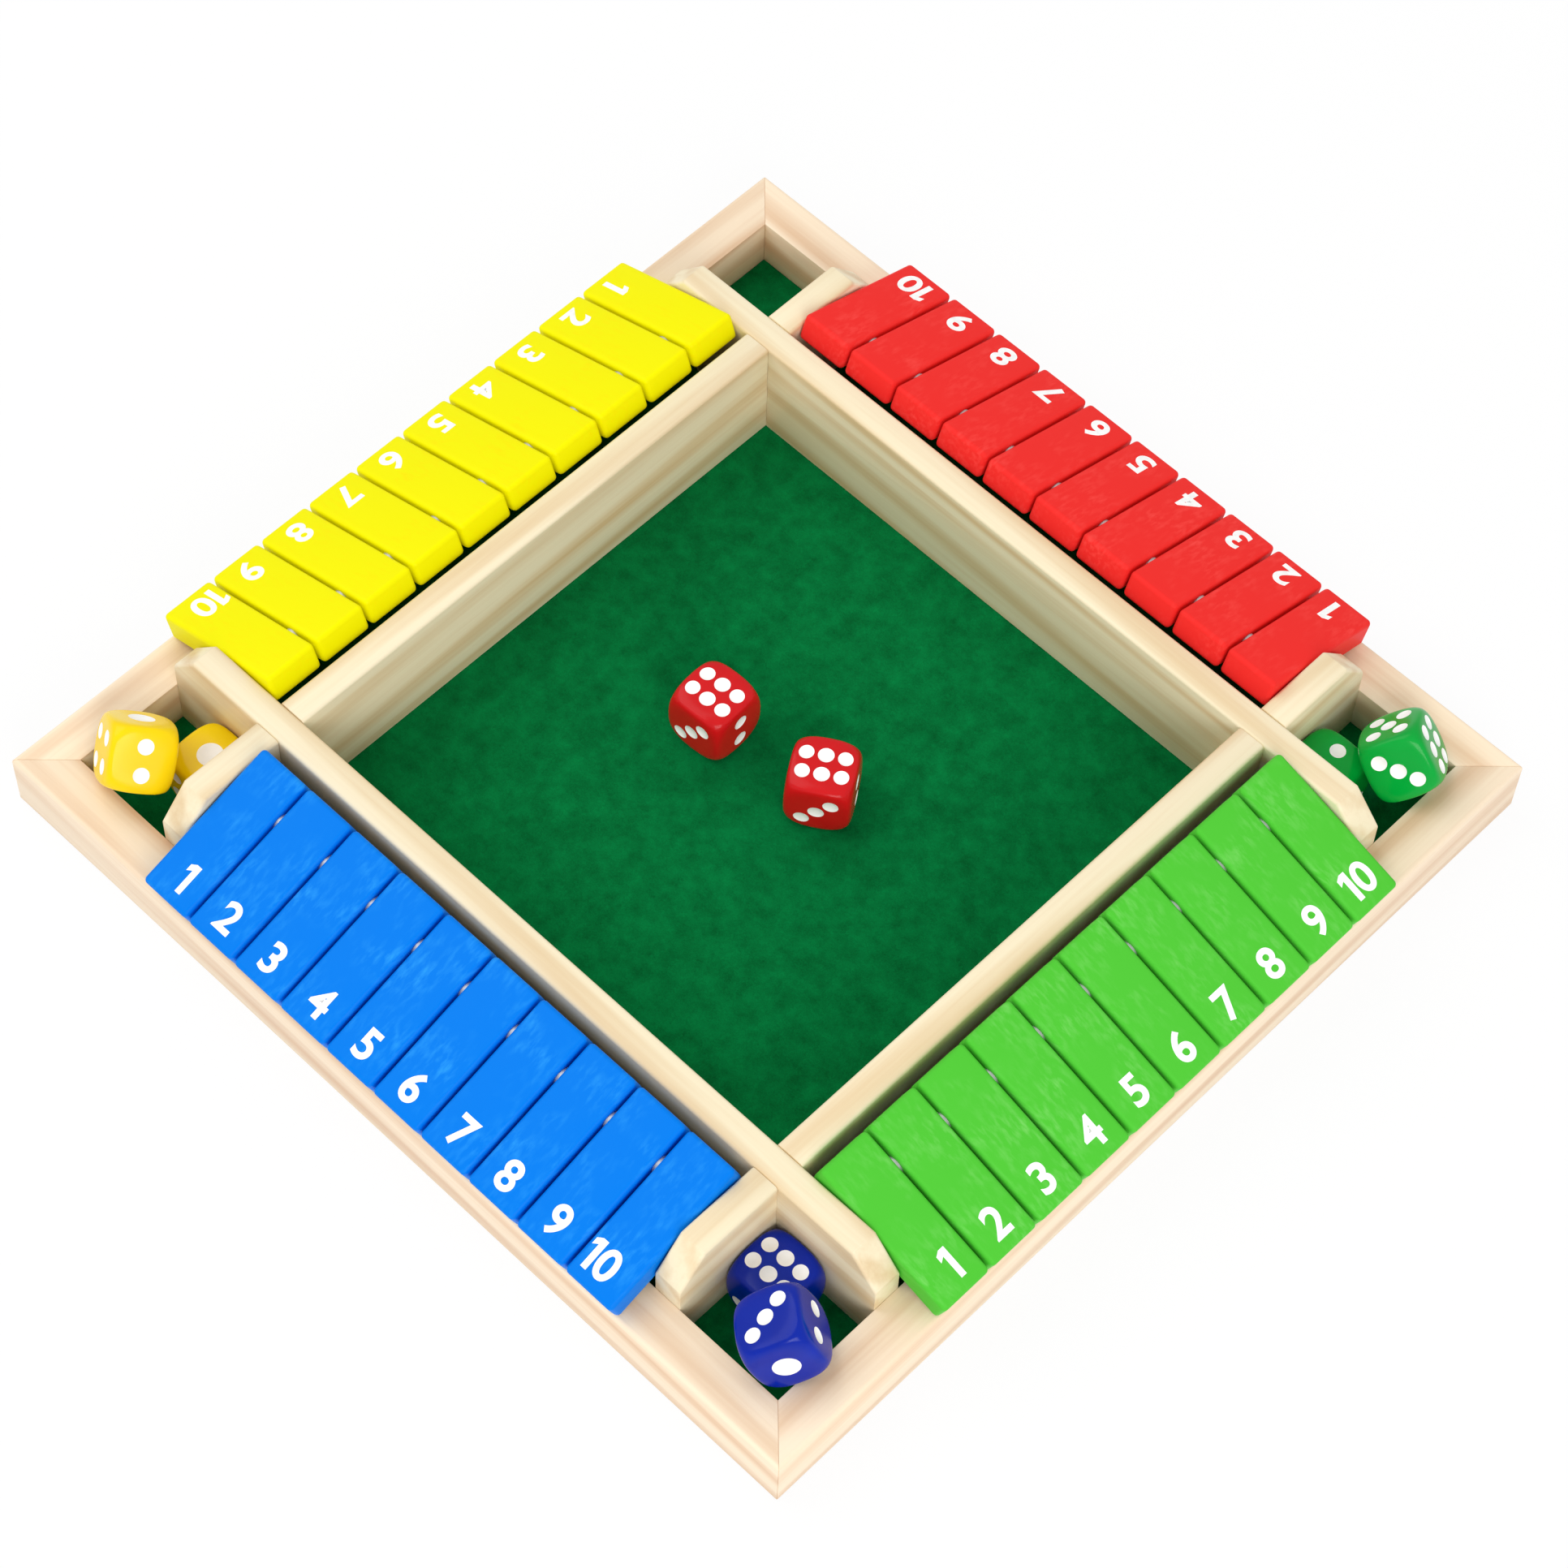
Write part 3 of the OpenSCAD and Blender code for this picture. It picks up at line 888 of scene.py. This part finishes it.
# How each face turns from the top, and where its pips are on it.
four_corners = [(x, y) for x in (-pip_step, pip_step) for y in (-pip_step, pip_step)]
two_rows = [(x, y) for x in (-pip_row, 0, pip_row) for y in (-pip_gap / 2, pip_gap / 2)]
pip_faces = [
    ((0, 0, 0), two_rows),
    ((math.pi, 0, 0), [(0, 0)]),
    ((math.pi / 2, 0, 0), [(k * pip_step, k * pip_step) for k in (-1, 0, 1)]),
    ((-math.pi / 2, 0, 0), four_corners),
    ((0, math.pi / 2, 0), [(-pip_step, 0), (pip_step, 0)]),
    ((0, -math.pi / 2, 0), [(0, 0)] + four_corners),
]


def pip_drill(x, y, width, face_turn):
    """The cap of a ball that cuts one round hollow and leaves it white."""
    radius = (width * width / 4 + pip_depth * pip_depth) / (2 * pip_depth)
    height = die_half + radius - pip_depth
    bpy.ops.object.select_all(action="DESELECT")
    bpy.ops.mesh.primitive_uv_sphere_add(
        segments=40, ring_count=80, radius=radius, location=(x, y, height)
    )
    drill = bpy.context.object
    bpy.ops.object.transform_apply(location=True, rotation=True, scale=True)
    saw((0, 0, height), (0, 0, 1))
    drill.data.transform(Euler(face_turn).to_matrix().to_4x4())
    drill.data.materials.append(pip_white)
    return drill


drills = []
for face_turn, pips in pip_faces:
    width = lone_pip_width if len(pips) == 1 else pip_width
    for x, y in pips:
        drills.append(pip_drill(x, y, width, face_turn))
bpy.ops.object.select_all(action="DESELECT")
for drill in drills:
    drill.select_set(True)
bpy.ops.object.join()
cut_away(die_block, bpy.context.object)
soften(16)

# The way each die lies, as turns about X, Y and Z in degrees.
dice = [
    ("red", "die_red_left", (0, 0, 2.8)),
    ("red", "die_red_right", (0, 0, 32.3)),
    ("blue", "die_blue_flat", (0, 0, 0)),
    ("blue", "die_blue_tilted", (-101.5, -28, 55.1)),
    ("green", "die_green_flat", (0, -90, 90)),
    ("green", "die_green_tilted", (-40.5, 44.6, -3.8)),
    ("yellow", "die_yellow_flat", (180, 0, 0)),
    ("yellow", "die_yellow_tilted", (152.6, -39.1, -20.3)),
]
for colour, node, turn in dice:
    low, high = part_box(node)
    lie = Euler([math.radians(angle) for angle in turn]).to_matrix().to_4x4()
    at_place = Matrix.Translation((Vector(low) + Vector(high)) / 2) @ lie
    die = placed_copy(die_block, "plastic_" + node, at_place)
    die.data.materials[0] = plastics[colour]
    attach(die, node)
    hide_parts(node)
bpy.data.objects.remove(die_block)
